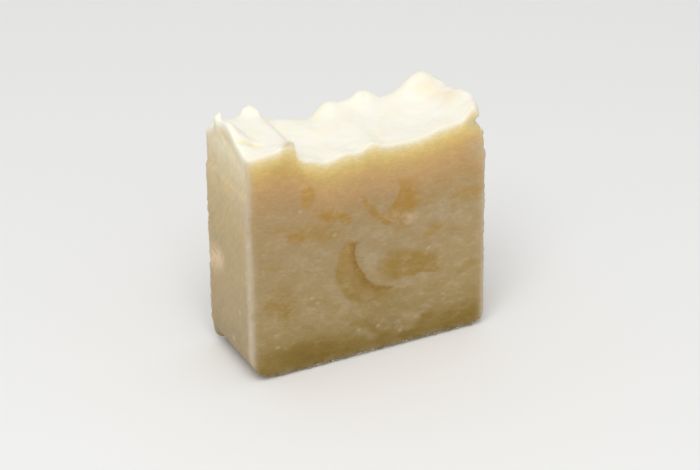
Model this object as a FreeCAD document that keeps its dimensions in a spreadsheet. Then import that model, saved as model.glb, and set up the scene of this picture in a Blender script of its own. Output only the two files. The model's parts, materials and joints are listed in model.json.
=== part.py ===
"""A bar of hand-made shampoo soap: one slice of a loaf with a spooned, swirled crown.

The loaf is poured into a mould with rounded lower corners, its crown is worked with
the back of a spoon while it sets, and it is then cut into slices with a wire. So the bar
has two moulded walls (left and right), two flat cut faces (front and back), a flat
base and a free-formed crown, all in one piece.

Millimetres. +Z is up, X runs across the loaf, and Y through the thickness of the slice.
The origin is at the middle of the base.
"""
import FreeCAD, Part
import math
import os

import Sketcher
from FreeCAD import Base

# ---------------------------------------------------------------- driving dimensions

# The block that the mould and the cutting wire give.
BLOCK_SIZES = {
    "bar_width": 65.0,            # inside width of the loaf mould
    "slice_thickness": 24.5,      # distance between the two wire cuts
    "left_corner_radius": 8.5,    # lower corner of the mould on the left
    "right_corner_radius": 4.3,   # lower corner on the right
    "cut_edge_chamfer": 0.4,      # softened edge round each cut face
    "rim_height": 49.5,           # where the right wall steps in, at the mould's rim
    "rim_step": 0.7,              # how far it steps in
    "rim_step_height": 1.2,       # height over which either wall steps in
    "left_rim_rise": 1.5,         # how much higher the left wall steps in
    "left_rim_step": 0.5,
    "shoulder_rise": 3.9,         # upright wall between the step and the rounded shoulder
    "shoulder_radius": 2.4,
    "overhang_radius": 2.5,       # underside of the dollop, above the shoulder
    "notch_angle": 65.0,          # where the shoulder and the underside meet, in degrees
    "headroom": 28.5,             # uncut block over the rim, higher than every peak
}

# The crown as a surface: its low level, the higher shelf on the left, and the steep
# flank on which the dollop at the right ends.
CROWN_SIZES = {
    "soap_rise": 7.7,             # the soap's own level, over the mould's rim
    "shelf_rise": 4.9,            # height of the left shelf over the soap's level
    "shelf_width": 14.6,          # from the left wall to the step
    "shelf_step_run": 0.95,       # steepness of the step, as the run of its slope
    "shelf_step_slant": 0.02,     # sideways drift of the step for each mm backwards
    "flank_inset": 2.3,           # dollop's flank, from the right wall at the front cut
    "flank_slant": 0.55,          # its drift to the right for each mm backwards
    "flank_run": 0.5,             # steepness of the flank
    "flank_drop": 0.8,            # how far the crown lies lower outside the flank
    "surface_step": 1.25,         # spacing of the points that carry the surface
    "surface_margin": 2.5,        # how far the surface runs past the walls
}

# The marks that the spoon left. Each is a rounded hill (rise over 0) or hollow (under 0).
# Its place is its side across the bar and the distance from that wall, then its side
# along the thickness and the distance from that cut; then its reach each way.
LEFT, MIDDLE, RIGHT = -1, 0, 1
FRONT, BACK = -1, 1
SPOON_MARKS = {
    #                 side    across  end    along  reach_x reach_y  rise
    "left_ridge":    (LEFT,   1.3,    FRONT, 11.8,  3.0,    6.8,     4.8),
    "corner_fall":   (LEFT,   -1.5,   BACK,  -1.5,  3.2,    4.0,    -5.6),
    "shelf_swell":   (LEFT,   7.0,    FRONT, -0.2,  3.5,    4.0,     0.9),
    "front_lip":     (LEFT,   11.2,   FRONT, -0.5,  1.9,    3.4,     2.5),
    "fold_ridge":    (LEFT,   14.6,   FRONT, 12.2,  2.1,    7.0,     1.2),
    "knob":          (LEFT,   11.8,   BACK,  1.2,   1.6,    1.9,     1.7),
    "knob_hollow":   (LEFT,   7.3,    BACK,  -0.2,  2.6,    3.0,    -1.3),
    "step_foot":     (LEFT,   17.5,   FRONT, -0.2,  2.6,    4.0,     1.3),
    "back_slope":    (LEFT,   17.0,   BACK,  -0.2,  5.0,    5.0,     1.0),
    "front_swell":   (MIDDLE, -6.0,   FRONT, -0.2,  3.0,    4.0,     1.2),
    "front_crest":   (MIDDLE, 0.9,    FRONT, -0.2,  2.6,    4.0,     1.9),
    "middle_swell":  (MIDDLE, 8.0,    FRONT, -0.2,  5.0,    5.0,     0.5),
    "front_rise":    (RIGHT,  10.5,   FRONT, -0.2,  6.4,    5.0,     2.0),
    "back_hollow":   (MIDDLE, -5.0,   BACK,  -0.2,  3.0,    4.0,    -1.2),
    "back_hill":     (MIDDLE, 1.0,    BACK,  -0.2,  3.6,    5.0,     2.4),
    "back_bump":     (MIDDLE, 10.0,   BACK,  -0.2,  4.2,    4.0,     3.1),
    "back_peak":     (RIGHT,  6.3,    BACK,  -0.2,  5.6,    6.0,     5.0),
    "fold_crest":    (MIDDLE, 2.4,    FRONT, 8.0,   2.6,    8.0,     0.8),
    "middle_hollow": (MIDDLE, -9.0,   FRONT, 10.0,  5.0,    5.0,    -0.7),
    "right_hollow":  (RIGHT,  17.0,   FRONT, 11.0,  6.0,    6.0,    -0.8),
}
# The two hills that make the dollop; they end at its flank.
DOLLOP_MARKS = {
    "dollop_rim":    (RIGHT,  1.6,    FRONT, 8.6,   5.6,    8.0,     5.0),
    "dollop_brow":   (RIGHT,  3.0,    FRONT, -0.7,  2.8,    5.0,     3.9),
}
MARK_FIELDS = ("across", "along", "reach_x", "reach_y", "rise")

# The small hooked curl that the spoon drew up on the left ridge.
CURL_SIZES = {
    "curl_from_left": 1.5,        # foot of the curl, from the left wall
    "curl_from_front": 18.0,      # and from the front cut
    "curl_foot_rise": 0.1,        # heights over the left shelf
    "curl_waist_rise": 3.3,
    "curl_tip_rise": 4.6,
    "curl_foot_radius": 1.4,
    "curl_waist_radius": 0.85,
    "curl_tip_radius": 0.3,
    "curl_waist_lean": 0.1,       # how far the waist stands to the right of the foot
    "curl_tip_lean": 0.6,         # and the tip
}

# The groove under the dollop at the front right, along the foot of its flank.
GROOVE_SIZES = {
    "groove_radius": 1.4,
    "groove_rise": 3.4,           # its middle, over the foot of the shoulder
    "groove_offset": 0.2,         # and outside the flank
    "groove_lead": 3.0,           # how far before the front cut it starts
    "groove_length": 14.0,
}

# The shallow scoop out of the lower front edge.
SCOOP_SIZES = {
    "scoop_from_middle": 1.5,     # its middle, to the right of the bar's middle
    "scoop_radius": 52.0,
    "scoop_height": 1.3,          # its height on the front cut
    "scoop_depth": 6.0,           # how far it runs in from the front cut
}

# ---------------------------------------------------------------- spreadsheet


def add_size(sheet, row, name, value):
    """One labelled row: the name in column A and the number, under its alias, in column B."""
    sheet.set(f"A{row}", name)
    sheet.set(f"B{row}", str(value))
    sheet.setAlias(f"B{row}", name)


def mark_sizes(marks):
    """The numbers of every spoon mark as named sizes, such as knob_rise."""
    sizes = {}
    for name, (_side, across, _end, along, reach_x, reach_y, rise) in marks.items():
        for field, value in zip(MARK_FIELDS, (across, along, reach_x, reach_y, rise)):
            sizes[f"{name}_{field}"] = value
    return sizes


def make_sheet(doc):
    """The spreadsheet that drives the model."""
    sheet = doc.addObject("Spreadsheet::Sheet", "Sizes")
    groups = (BLOCK_SIZES, CROWN_SIZES, mark_sizes(SPOON_MARKS), mark_sizes(DOLLOP_MARKS),
              CURL_SIZES, GROOVE_SIZES, SCOOP_SIZES)
    row = 1
    for group in groups:
        for name, value in group.items():
            add_size(sheet, row, name, value)
            row += 1
    doc.recompute()
    return sheet


# ---------------------------------------------------------------- helpers


def origin_plane(body, role):
    """The body's own origin plane with this role, such as XZ_Plane."""
    for feature in body.Origin.OriginFeatures:
        if feature.Role == role:
            return feature
    raise ValueError(role)


def new_sketch(body, name, role):
    """An empty sketch on one of the body's origin planes."""
    sketch = body.newObject("Sketcher::SketchObject", name)
    sketch.AttachmentSupport = [(origin_plane(body, role), "")]
    sketch.MapMode = "FlatFace"
    return sketch


def bind(sketch, name, expression, kind, *where):
    """A named dimension of the sketch that follows an expression on the sheet."""
    value = float(sketch.evalExpression(expression))
    index = sketch.addConstraint(Sketcher.Constraint(kind, *where, value))
    sketch.renameConstraint(index, name)
    sketch.setExpression(f"Constraints.{name}", expression)


def point(x, z):
    """A point of a section, across and up."""
    return Base.Vector(x, z, 0)


def arc(center, radius, start, end):
    """An arc of a section, anticlockwise, with its angles in degrees."""
    circle = Part.Circle(center, Base.Vector(0, 0, 1), radius)
    return Part.ArcOfCircle(circle, math.radians(start), math.radians(end))


# ---------------------------------------------------------------- the block


def draw_loaf_section(sketch, sheet):
    """The outline of the slice, from the base anticlockwise, with every size on the sheet."""
    half = sheet.bar_width / 2
    left, right = sheet.left_corner_radius, sheet.right_corner_radius
    upper = half - sheet.rim_step
    step_top = sheet.rim_height + sheet.rim_step_height
    left_upper = sheet.left_rim_step - half
    left_rim = sheet.rim_height + sheet.left_rim_rise
    left_step_top = left_rim + sheet.rim_step_height
    block_top = sheet.rim_height + sheet.headroom
    shoulder = point(upper - sheet.shoulder_radius, step_top + sheet.shoulder_rise)
    opening = math.radians(sheet.notch_angle)
    notch = shoulder + point(math.cos(opening), math.sin(opening)) * sheet.shoulder_radius
    over = notch + point(-math.cos(opening), math.sin(opening)) * sheet.overhang_radius
    flank = over.x + sheet.overhang_radius

    sketch.addGeometry([
        Part.LineSegment(point(left - half, 0), point(half - right, 0)),
        arc(point(half - right, right), right, -90, 0),
        Part.LineSegment(point(half, right), point(half, sheet.rim_height)),
        Part.LineSegment(point(half, sheet.rim_height), point(upper, step_top)),
        Part.LineSegment(point(upper, step_top), point(upper, shoulder.y)),
        arc(shoulder, sheet.shoulder_radius, 0, sheet.notch_angle),
        arc(over, sheet.overhang_radius, -sheet.notch_angle, 0),
        Part.LineSegment(point(flank, over.y), point(flank, block_top)),
        Part.LineSegment(point(flank, block_top), point(left_upper, block_top)),
        Part.LineSegment(point(left_upper, block_top), point(left_upper, left_step_top)),
        Part.LineSegment(point(left_upper, left_step_top), point(-half, left_rim)),
        Part.LineSegment(point(-half, left_rim), point(-half, left)),
        arc(point(left - half, left), left, 180, 270),
    ])
    (base, right_corner, wall, step, upper_wall, shoulder, over, flank, top,
     left_upper_wall, left_step, left_wall, left_corner) = range(13)
    start, end, centre = 1, 2, 3

    rule = Sketcher.Constraint
    sketch.addConstraint([
        rule("Horizontal", base), rule("Horizontal", top),
        rule("Vertical", wall), rule("Vertical", upper_wall),
        rule("Vertical", flank), rule("Vertical", left_upper_wall), rule("Vertical", left_wall),
        rule("Tangent", base, end, right_corner, start),
        rule("Tangent", right_corner, end, wall, start),
        rule("Coincident", wall, end, step, start),
        rule("Coincident", step, end, upper_wall, start),
        rule("Tangent", upper_wall, end, shoulder, start),
        rule("Coincident", shoulder, end, over, start),
        rule("Tangent", over, end, flank, start),
        rule("Coincident", flank, end, top, start),
        rule("Coincident", top, end, left_upper_wall, start),
        rule("Coincident", left_upper_wall, end, left_step, start),
        rule("Coincident", left_step, end, left_wall, start),
        rule("Tangent", left_wall, end, left_corner, start),
        rule("Tangent", left_corner, end, base, start),
        rule("PointOnObject", base, start, -1),
    ])
    origin = (-1, 1)
    bind(sketch, "half_width", "Sizes.bar_width / 2", "DistanceX", left_wall, end, *origin)
    bind(sketch, "width", "Sizes.bar_width", "DistanceX", left_wall, end, wall, start)
    bind(sketch, "left_radius", "Sizes.left_corner_radius", "Radius", left_corner)
    bind(sketch, "right_radius", "Sizes.right_corner_radius", "Radius", right_corner)
    bind(sketch, "rim", "Sizes.rim_height", "DistanceY", *origin, wall, end)
    bind(sketch, "rim_step", "Sizes.rim_step", "DistanceX", step, end, step, start)
    bind(sketch, "rim_rise", "Sizes.rim_step_height", "DistanceY", step, start, step, end)
    bind(sketch, "left_rim", "Sizes.left_rim_rise", "DistanceY", wall, end, left_wall, start)
    bind(sketch, "left_step", "Sizes.left_rim_step", "DistanceX", left_step, end, left_step, start)
    bind(sketch, "left_rise", "Sizes.rim_step_height", "DistanceY", left_step, end, left_step, start)
    bind(sketch, "shoulder", "Sizes.shoulder_rise", "DistanceY", step, end, shoulder, start)
    bind(sketch, "shoulder_arc", "Sizes.shoulder_radius", "Radius", shoulder)
    bind(sketch, "notch_in", "Sizes.shoulder_radius * cos(Sizes.notch_angle)",
         "DistanceX", shoulder, centre, shoulder, end)
    bind(sketch, "overhang_arc", "Sizes.overhang_radius", "Radius", over)
    bind(sketch, "notch_out", "Sizes.overhang_radius * cos(Sizes.notch_angle)",
         "DistanceX", over, centre, over, start)
    bind(sketch, "headroom", "Sizes.headroom", "DistanceY", wall, end, flank, end)


def cut_edges(solid, sheet):
    """Names of the edges round both cut faces: left wall, base, and right wall to the rim."""
    half_thickness = sheet.slice_thickness / 2
    rim_top = sheet.rim_height + sheet.rim_step_height
    names = []
    for number, edge in enumerate(solid.Edges, 1):
        box = edge.BoundBox
        on_cut = box.YLength < 1e-6 and abs(abs(box.YMin) - half_thickness) < 1e-6
        under_rim = box.ZMax < rim_top + 1e-6
        left_wall = box.XMax < 0 and box.ZMin > 0
        if on_cut and (under_rim or left_wall):
            names.append(f"Edge{number}")
    return names


def make_block(doc, sheet):
    """The slice before its crown is worked: moulded walls, base, and two wire cuts."""
    body = doc.addObject("PartDesign::Body", "Block")
    section = new_sketch(body, "LoafSection", "XZ_Plane")
    draw_loaf_section(section, sheet)
    doc.recompute()

    slab = body.newObject("PartDesign::Pad", "Slab")
    slab.Profile = section
    slab.SideType = "Symmetric"
    slab.setExpression("Length", "Sizes.slice_thickness")
    doc.recompute()

    softened = body.newObject("PartDesign::Chamfer", "CutEdges")
    softened.Base = (slab, cut_edges(slab.Shape, sheet))
    softened.setExpression("Size", "Sizes.cut_edge_chamfer")
    doc.recompute()

    scoop = body.newObject("PartDesign::SubtractiveCylinder", "EdgeScoop")
    scoop.setExpression("Radius", "Sizes.scoop_radius")
    scoop.setExpression("Height", "2 * Sizes.scoop_depth")
    scoop.setExpression(".Placement.Base.x", "Sizes.scoop_from_middle")
    scoop.setExpression(".Placement.Base.y", "-Sizes.slice_thickness / 2 - Sizes.scoop_depth")
    scoop.setExpression(".Placement.Base.z", "2 * Sizes.scoop_height - Sizes.scoop_radius")
    fall = math.degrees(math.atan2(sheet.scoop_height, sheet.scoop_depth))
    scoop.Placement.Rotation = Base.Rotation(Base.Vector(1, 0, 0), -90 - fall)
    doc.recompute()

    groove = body.newObject("PartDesign::SubtractiveCylinder", "FlankGroove")
    groove.setExpression("Radius", "Sizes.groove_radius")
    groove.setExpression("Height", "Sizes.groove_length")
    groove.setExpression(".Placement.Base.x",
                         "Sizes.bar_width / 2 - Sizes.flank_inset + Sizes.groove_offset"
                         " - Sizes.flank_slant * Sizes.groove_lead")
    groove.setExpression(".Placement.Base.y", "-Sizes.slice_thickness / 2 - Sizes.groove_lead")
    groove.setExpression(".Placement.Base.z",
                         "Sizes.rim_height + Sizes.rim_step_height + Sizes.shoulder_rise"
                         " + Sizes.groove_rise")
    along_flank = Base.Vector(sheet.flank_slant, 1, 0)
    groove.Placement.Rotation = Base.Rotation(Base.Vector(0, 0, 1), along_flank)
    doc.recompute()
    body.Tip = groove
    doc.recompute()
    return body


# ---------------------------------------------------------------- the crown


def slope(distance, run):
    """A smooth step that falls from 1 to 0 as the distance passes 0."""
    return 1 / (1 + math.exp(distance / run))


def hills(sheet, marks, x, y):
    """The height that these spoon marks add at one place of the crown."""
    half_width = sheet.bar_width / 2
    half_thickness = sheet.slice_thickness / 2
    total = 0
    for name, (side, _across, end, *_rest) in marks.items():
        across, along, reach_x, reach_y, rise = (
            sheet.get(f"{name}_{field}") for field in MARK_FIELDS)
        inward = -side if side else 1
        middle_x = side * half_width + inward * across
        middle_y = end * (half_thickness - along)
        distance = ((x - middle_x) / reach_x) ** 2 + ((y - middle_y) / reach_y) ** 2
        total += rise * math.exp(-distance)
    return total


def crown_height(sheet, x, y):
    """The height of the crown over the base at one place."""
    from_left = x + sheet.bar_width / 2
    from_front = y + sheet.slice_thickness / 2
    past_step = from_left - sheet.shelf_width - sheet.shelf_step_slant * y
    flank = sheet.bar_width - sheet.flank_inset + sheet.flank_slant * from_front
    dollop = slope(from_left - flank, sheet.flank_run)
    height = sheet.rim_height + sheet.soap_rise
    height += sheet.shelf_rise * slope(past_step, sheet.shelf_step_run)
    height += hills(sheet, SPOON_MARKS, x, y)
    height += hills(sheet, DOLLOP_MARKS, x, y) * dollop
    return height - sheet.flank_drop * (1 - dollop)


def spread(half_length, sheet):
    """Evenly spaced places from one side to the other, with the margin on both."""
    reach = half_length + sheet.surface_margin
    count = math.ceil(2 * reach / sheet.surface_step)
    return [reach * (2 * i / count - 1) for i in range(count + 1)]


def make_crown_air(doc, sheet):
    """All that is over the crown: the spooned surface, drawn out upwards."""
    rows = [[Base.Vector(x, y, crown_height(sheet, x, y))
             for y in spread(sheet.slice_thickness / 2, sheet)]
            for x in spread(sheet.bar_width / 2, sheet)]
    surface = Part.BSplineSurface()
    surface.interpolate(rows)
    air = doc.addObject("Part::Feature", "CrownAir")
    air.Shape = surface.toShape().extrude(Base.Vector(0, 0, sheet.headroom))
    air.Placement = Base.Placement()
    return air


# ---------------------------------------------------------------- the curl


def circle_section(body, name, rise, radius, lean):
    """A level circle of the curl, at its rise over the shelf, and leaning to the right."""
    sketch = new_sketch(body, name, "XY_Plane")
    sketch.setExpression(".AttachmentOffset.Base.z",
                         f"Sizes.rim_height + Sizes.soap_rise + Sizes.shelf_rise + {rise}")
    sketch.setExpression(".AttachmentOffset.Base.x", lean)
    normal = Base.Vector(0, 0, 1)
    sketch.addGeometry(Part.Circle(Base.Vector(), normal, float(sketch.evalExpression(radius))))
    sketch.addConstraint(Sketcher.Constraint("Coincident", 0, 3, -1, 1))
    bind(sketch, "radius", radius, "Radius", 0)
    return sketch


def make_curl(doc):
    """The small horn of soap that the spoon drew up, bent over to the right."""
    body = doc.addObject("PartDesign::Body", "Curl")
    foot = circle_section(body, "CurlFoot", "Sizes.curl_foot_rise",
                          "Sizes.curl_foot_radius", "0")
    waist = circle_section(body, "CurlWaist", "Sizes.curl_waist_rise",
                           "Sizes.curl_waist_radius", "Sizes.curl_waist_lean")
    tip = circle_section(body, "CurlTip", "Sizes.curl_tip_rise",
                         "Sizes.curl_tip_radius", "Sizes.curl_tip_lean")
    doc.recompute()

    horn = body.newObject("PartDesign::AdditiveLoft", "Horn")
    horn.Profile = foot
    horn.Sections = [waist, tip]
    horn.Ruled = True
    doc.recompute()
    body.setExpression(".Placement.Base.x", "-Sizes.bar_width / 2 + Sizes.curl_from_left")
    body.setExpression(".Placement.Base.y", "-Sizes.slice_thickness / 2 + Sizes.curl_from_front")
    doc.recompute()
    return body


# ---------------------------------------------------------------- the whole bar


def make_bar(doc, sheet):
    """The crowned slice with its curl, as one solid."""
    crowned = doc.addObject("Part::Cut", "CrownedSlice")
    crowned.Base = make_block(doc, sheet)
    crowned.Tool = make_crown_air(doc, sheet)
    doc.recompute()

    bar = doc.addObject("Part::Fuse", "Bar")
    bar.Base = crowned
    bar.Tool = make_curl(doc)
    bar.Label = "shampoo_bar"
    doc.recompute()
    return bar


def check(doc, parts):
    """Stops with a message if an object failed or a shape isn't a sound solid."""
    for item in doc.Objects:
        if "Invalid" in item.State or "Error" in item.State:
            raise RuntimeError(f"{item.Name} failed: {item.State}")
    for part in parts:
        if part.Shape.isNull() or not part.Shape.isValid():
            raise RuntimeError(f"{part.Label} has no sound shape")
        if len(part.Shape.Solids) != 1:
            raise RuntimeError(f"{part.Label} is {len(part.Shape.Solids)} solids")


def main():
    doc = FreeCAD.newDocument("ShampooBar")
    sheet = make_sheet(doc)
    parts = [make_bar(doc, sheet)]
    check(doc, parts)
    os.makedirs("parts", exist_ok=True)
    for part in parts:
        part.Shape.exportStep(f"parts/{part.Label}.step")
        box = part.Shape.optimalBoundingBox()
        volume = part.Shape.Volume / 1000
        print(f"{part.Label}: {volume:.1f} cm3, {box.XLength:.1f} x {box.YLength:.1f}"
              f" x {box.ZLength:.1f} mm, {len(part.Shape.Faces)} faces")


main()
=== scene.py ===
# %% [markdown]
# # A bar of hand-made shampoo soap
#
# This lesson dresses one solid: a slice cut from a loaf of soap. The loaf was poured into a
# mould, its crown was worked with the back of a spoon, and a wire cut the slice off. So the bar
# has four kinds of skin: smooth moulded walls, two cut faces with drag lines and marbling, a
# flat base, and a creamy spooned crown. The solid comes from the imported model, and everything
# here stays inside its box. Sizes in the tables are in millimetres, and MM makes them metres.

# %% Load the frame
import bpy
import json
import math
import numpy as np
from mathutils import Matrix, Vector
from mathutils.bvhtree import BVHTree

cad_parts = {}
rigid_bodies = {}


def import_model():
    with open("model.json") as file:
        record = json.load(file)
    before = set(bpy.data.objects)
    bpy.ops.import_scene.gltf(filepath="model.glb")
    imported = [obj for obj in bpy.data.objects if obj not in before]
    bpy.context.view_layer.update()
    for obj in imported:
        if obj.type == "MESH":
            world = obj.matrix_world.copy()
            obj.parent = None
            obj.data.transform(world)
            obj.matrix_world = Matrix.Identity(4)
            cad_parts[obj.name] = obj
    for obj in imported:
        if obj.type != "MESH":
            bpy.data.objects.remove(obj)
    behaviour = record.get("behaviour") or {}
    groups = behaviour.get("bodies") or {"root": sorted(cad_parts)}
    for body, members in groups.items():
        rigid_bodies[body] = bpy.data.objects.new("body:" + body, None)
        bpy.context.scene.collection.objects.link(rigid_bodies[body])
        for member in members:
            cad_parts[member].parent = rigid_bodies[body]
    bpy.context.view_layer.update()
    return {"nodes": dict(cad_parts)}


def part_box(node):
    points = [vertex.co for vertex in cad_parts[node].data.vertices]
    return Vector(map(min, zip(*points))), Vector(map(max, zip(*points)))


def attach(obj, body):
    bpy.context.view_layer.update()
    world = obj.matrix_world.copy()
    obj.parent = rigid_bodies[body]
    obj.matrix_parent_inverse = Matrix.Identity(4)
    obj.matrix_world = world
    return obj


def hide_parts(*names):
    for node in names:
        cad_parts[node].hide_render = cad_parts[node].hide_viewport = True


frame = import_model()
MM = 0.001
low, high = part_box("shampoo_bar")
HALF_WIDTH = high.x
HALF_THICKNESS = high.y
FRONT = low.y
print("the solid's box in mm:", [round(v / MM, 1) for v in (*low, *high)])

# %% [markdown]
# ## The skin
#
# Soap is one soft mass, so it is worked as one skin. A modeller could subdivide the solid's own
# faces, but its triangles are long and thin on the flat walls and tiny on the crown. A voxel
# remesh lays an even grid of small faces over all of it, which then takes fine dents anywhere.
# The voxel is a little under half a millimetre, the size of the smallest crumb worth shaping.

# %% Helpers for picking one object
def pick_only(piece):
    """Deselects everything and makes this piece the selected, active one."""
    for other in bpy.data.objects:
        other.select_set(False)
    piece.select_set(True)
    bpy.context.view_layer.objects.active = piece


def apply_modifier(piece, kind, name, **settings):
    """Adds a modifier with these settings and applies it."""
    pick_only(piece)
    modifier = piece.modifiers.new(name, kind)
    for key, value in settings.items():
        setattr(modifier, key, value)
    bpy.ops.object.modifier_apply(modifier=modifier.name)


# %% Copy the solid, merge its loose triangles and remesh it
VOXEL = 0.4 * MM
WELD = 0.002 * MM
SMOOTH_PULL = 0.5
solid = frame["nodes"]["shampoo_bar"]
soap = solid.copy()
soap.data = solid.data.copy()
soap.name = "soap_skin"
soap.parent = None
bpy.context.scene.collection.objects.link(soap)
soap.data.materials.clear()
pick_only(soap)
bpy.ops.object.mode_set(mode="EDIT")
bpy.ops.mesh.select_all(action="SELECT")
bpy.ops.mesh.remove_doubles(threshold=WELD)
bpy.ops.object.mode_set(mode="OBJECT")
apply_modifier(soap, "REMESH", "Even skin", mode="VOXEL", voxel_size=VOXEL)
apply_modifier(soap, "SMOOTH", "Settle", factor=SMOOTH_PULL, iterations=3)
print("skin faces:", len(soap.data.polygons))

# %% [markdown]
# ## The settled crown
#
# The solid already holds the big hills and the step. Poured soap settles while it sets, which
# rounds off the rim of the shelf and the low hills. Smoothing the whole bar would blunt its cut
# edges too, so the smoothing is held to an area by the weights of a vertex group, and those
# fade out towards the edges.

# %% Weights on the skin
LEAST_WEIGHT = 0.01


def skin_points():
    """The places of all the skin's points, one row each."""
    points = np.empty(len(soap.data.vertices) * 3)
    soap.data.vertices.foreach_get("co", points)
    return points.reshape(-1, 3)


def weigh(name, weights):
    """A vertex group that holds these weights, one for each point of the skin."""
    group = soap.vertex_groups.new(name=name)
    touched = np.flatnonzero(weights > LEAST_WEIGHT)
    for index in touched:
        group.add([int(index)], float(weights[index]), "REPLACE")
    print(name, "on", len(touched), "points")


# %% Settle the shelf and the crown behind it
def between(values, start, end, fade_out):
    """1 between start and end, falling evenly to 0 over the given distance outside them."""
    return np.clip(np.minimum(values - start, end - values) / fade_out + 1, 0, 1)


# Each area: its span across and its span through the bar (start, end, fade-out), the height
# that it starts at, and the steps of smoothing.
SETTLED = {
    "settled shelf": ((-30.8, -17.5, 1.2), (-7.5, 8.0, 2.0), 56, 18),
    "settled crown": ((-12.0, 30.0, 2.0), (-10.0, 10.0, 2.0), 54, 6),
}
across, through, up_high = skin_points().T / MM
for name, (span_across, span_through, from_height, steps) in SETTLED.items():
    weights = between(across, *span_across) * between(through, *span_through)
    weigh(name, weights * (up_high > from_height))
    apply_modifier(soap, "SMOOTH", name, vertex_group=name, factor=SMOOTH_PULL, iterations=steps)

# %% [markdown]
# ## The spoon's strokes
#
# The spoon left the crease where the shelf folded over, the fold under the left rim, the lip of
# the dollop and the ripples along the back. Sculpt mode would shape them by hand, but a lesson
# should give the same bar each time. So each is a stroke in numbers: the nearest point is
# picked and moved, and proportional editing carries its surroundings along, as a thumb would.

# %% A stroke on the skin
def stroke(place, reach, move, falloff="SMOOTH"):
    """Moves the skin near a place, all in millimetres, fading out at the reach."""
    gaps = np.linalg.norm(skin_points() - np.array(place) * MM, axis=1)
    pick_only(soap)
    bpy.ops.object.mode_set(mode="EDIT")
    bpy.ops.mesh.select_all(action="DESELECT")
    bpy.ops.object.mode_set(mode="OBJECT")
    soap.data.vertices[int(gaps.argmin())].select = True
    bpy.ops.object.mode_set(mode="EDIT")
    bpy.ops.transform.translate(
        value=Vector(move) * MM, use_proportional_edit=True,
        proportional_edit_falloff=falloff, proportional_size=reach * MM)
    bpy.ops.object.mode_set(mode="OBJECT")


def strokes(name, places, reach, move, falloff="SMOOTH"):
    """The same stroke at several places in a row, as a thumb dragged along."""
    for place in places:
        stroke(place, reach, move, falloff)
    print(name, "strokes:", len(places))


# %% The crease where the shelf folded over
SHELF_CREASE = [(-31.0, -5.6, 64.8), (-30.1, -6.1, 64.2), (-28.9, -6.3, 63.4),
                (-27.3, -6.1, 62.6), (-26.0, -6.7, 62.3)]
CREASE_LIP = [(-28.6, -4.4, 63.4), (-26.8, -4.8, 62.6)]
strokes("shelf crease", SHELF_CREASE, reach=1.5, move=(0, 0, -0.5))
strokes("crease lip", CREASE_LIP, reach=2.0, move=(0, -0.2, 0.3))

# %% The fold under the left rim
LEFT_FOLD = [(-32.2, 3.1, 63.0), (-32.1, 1.6, 62.6), (-32.1, 0.5, 62.3), (-32.1, -0.6, 61.7)]
strokes("left fold", LEFT_FOLD, reach=1.5, move=(0.4, 0, -0.1))

# %% The curl and the knob, which stand fuller than in the solid
strokes("curl", [(-31.2, 6.2, 65.6), (-31.2, 6.4, 64.6)], reach=1.6, move=(-0.55, 0, 0.1))
strokes("curl tip", [(-30.9, 5.8, 66.4)], reach=1.4, move=(0.1, 0, 0.35))
strokes("knob", [(-19.9, 9.8, 62.9), (-19.7, 9.2, 62.2)], reach=1.7, move=(0.5, 0, 0.25))
strokes("knob's left", [(-21.8, 10.8, 63.0), (-22.2, 10.8, 62.4)], reach=1.4,
        move=(-0.4, 0, 0.25))

# %% The lip of the shelf, the hills at the back and the right end
SHELF_LIP = [(-21.0, -11.6, 63.6), (-20.4, -10.6, 63.0)]
LEFT_HILL = [(-2.2, 11.2, 58.0), (-0.4, 11.4, 59.0), (5.0, 11.4, 58.8)]
MIDDLE_HILL = [(8.6, 11.4, 59.9), (10.6, 11.6, 60.0), (12.4, 11.4, 59.4)]
RIGHT_FLANK = [(30.6, 8.6, 59.6), (30.6, 5.0, 60.0)]
RIGHT_SHOULDER = [(29.8, -0.3, 61.3), (30.2, -2.0, 61.9), (30.4, -4.6, 62.3)]
strokes("lip of the shelf", SHELF_LIP, reach=2.6, move=(0.7, 0, 0.1))
strokes("left hill", LEFT_HILL, reach=2.6, move=(0, 0, 0.35))
strokes("middle hill", MIDDLE_HILL, reach=2.6, move=(0, 0, 0.4))
strokes("right flank", RIGHT_FLANK, reach=2.4, move=(0.2, 0, 0.4))
strokes("right shoulder", RIGHT_SHOULDER, reach=2.2, move=(0.1, 0, 0.4))

# %% The spoon's ripples over the crown, shallow and running backwards
RIPPLES = {
    "middle ripple": [(-6.4, -6.0, 58.2), (-5.6, -2.0, 58.2), (-5.4, 2.0, 58.4), (-5.8, 6.0, 58.6)],
    "valley before the dollop": [(15.5, -7.0, 58.4), (16.8, -3.0, 58.8), (18.6, 1.0, 59.4)],
    "under the peak": [(22.0, -4.0, 60.4), (23.2, -0.5, 61.6)],
    "right of the crest": [(5.6, -9.0, 58.0), (5.2, -5.5, 58.2), (5.4, -2.0, 58.6)],
}
RAISED_RIMS = [(-2.4, -7.6, 58.8), (-2.0, -4.0, 59.0), (20.0, -6.5, 59.6), (19.6, -9.4, 59.6)]
for name, places in RIPPLES.items():
    strokes(name, places, reach=2.6, move=(0, 0, -0.2))
strokes("raised rims", RAISED_RIMS, reach=2.2, move=(0, 0, 0.3))

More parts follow.
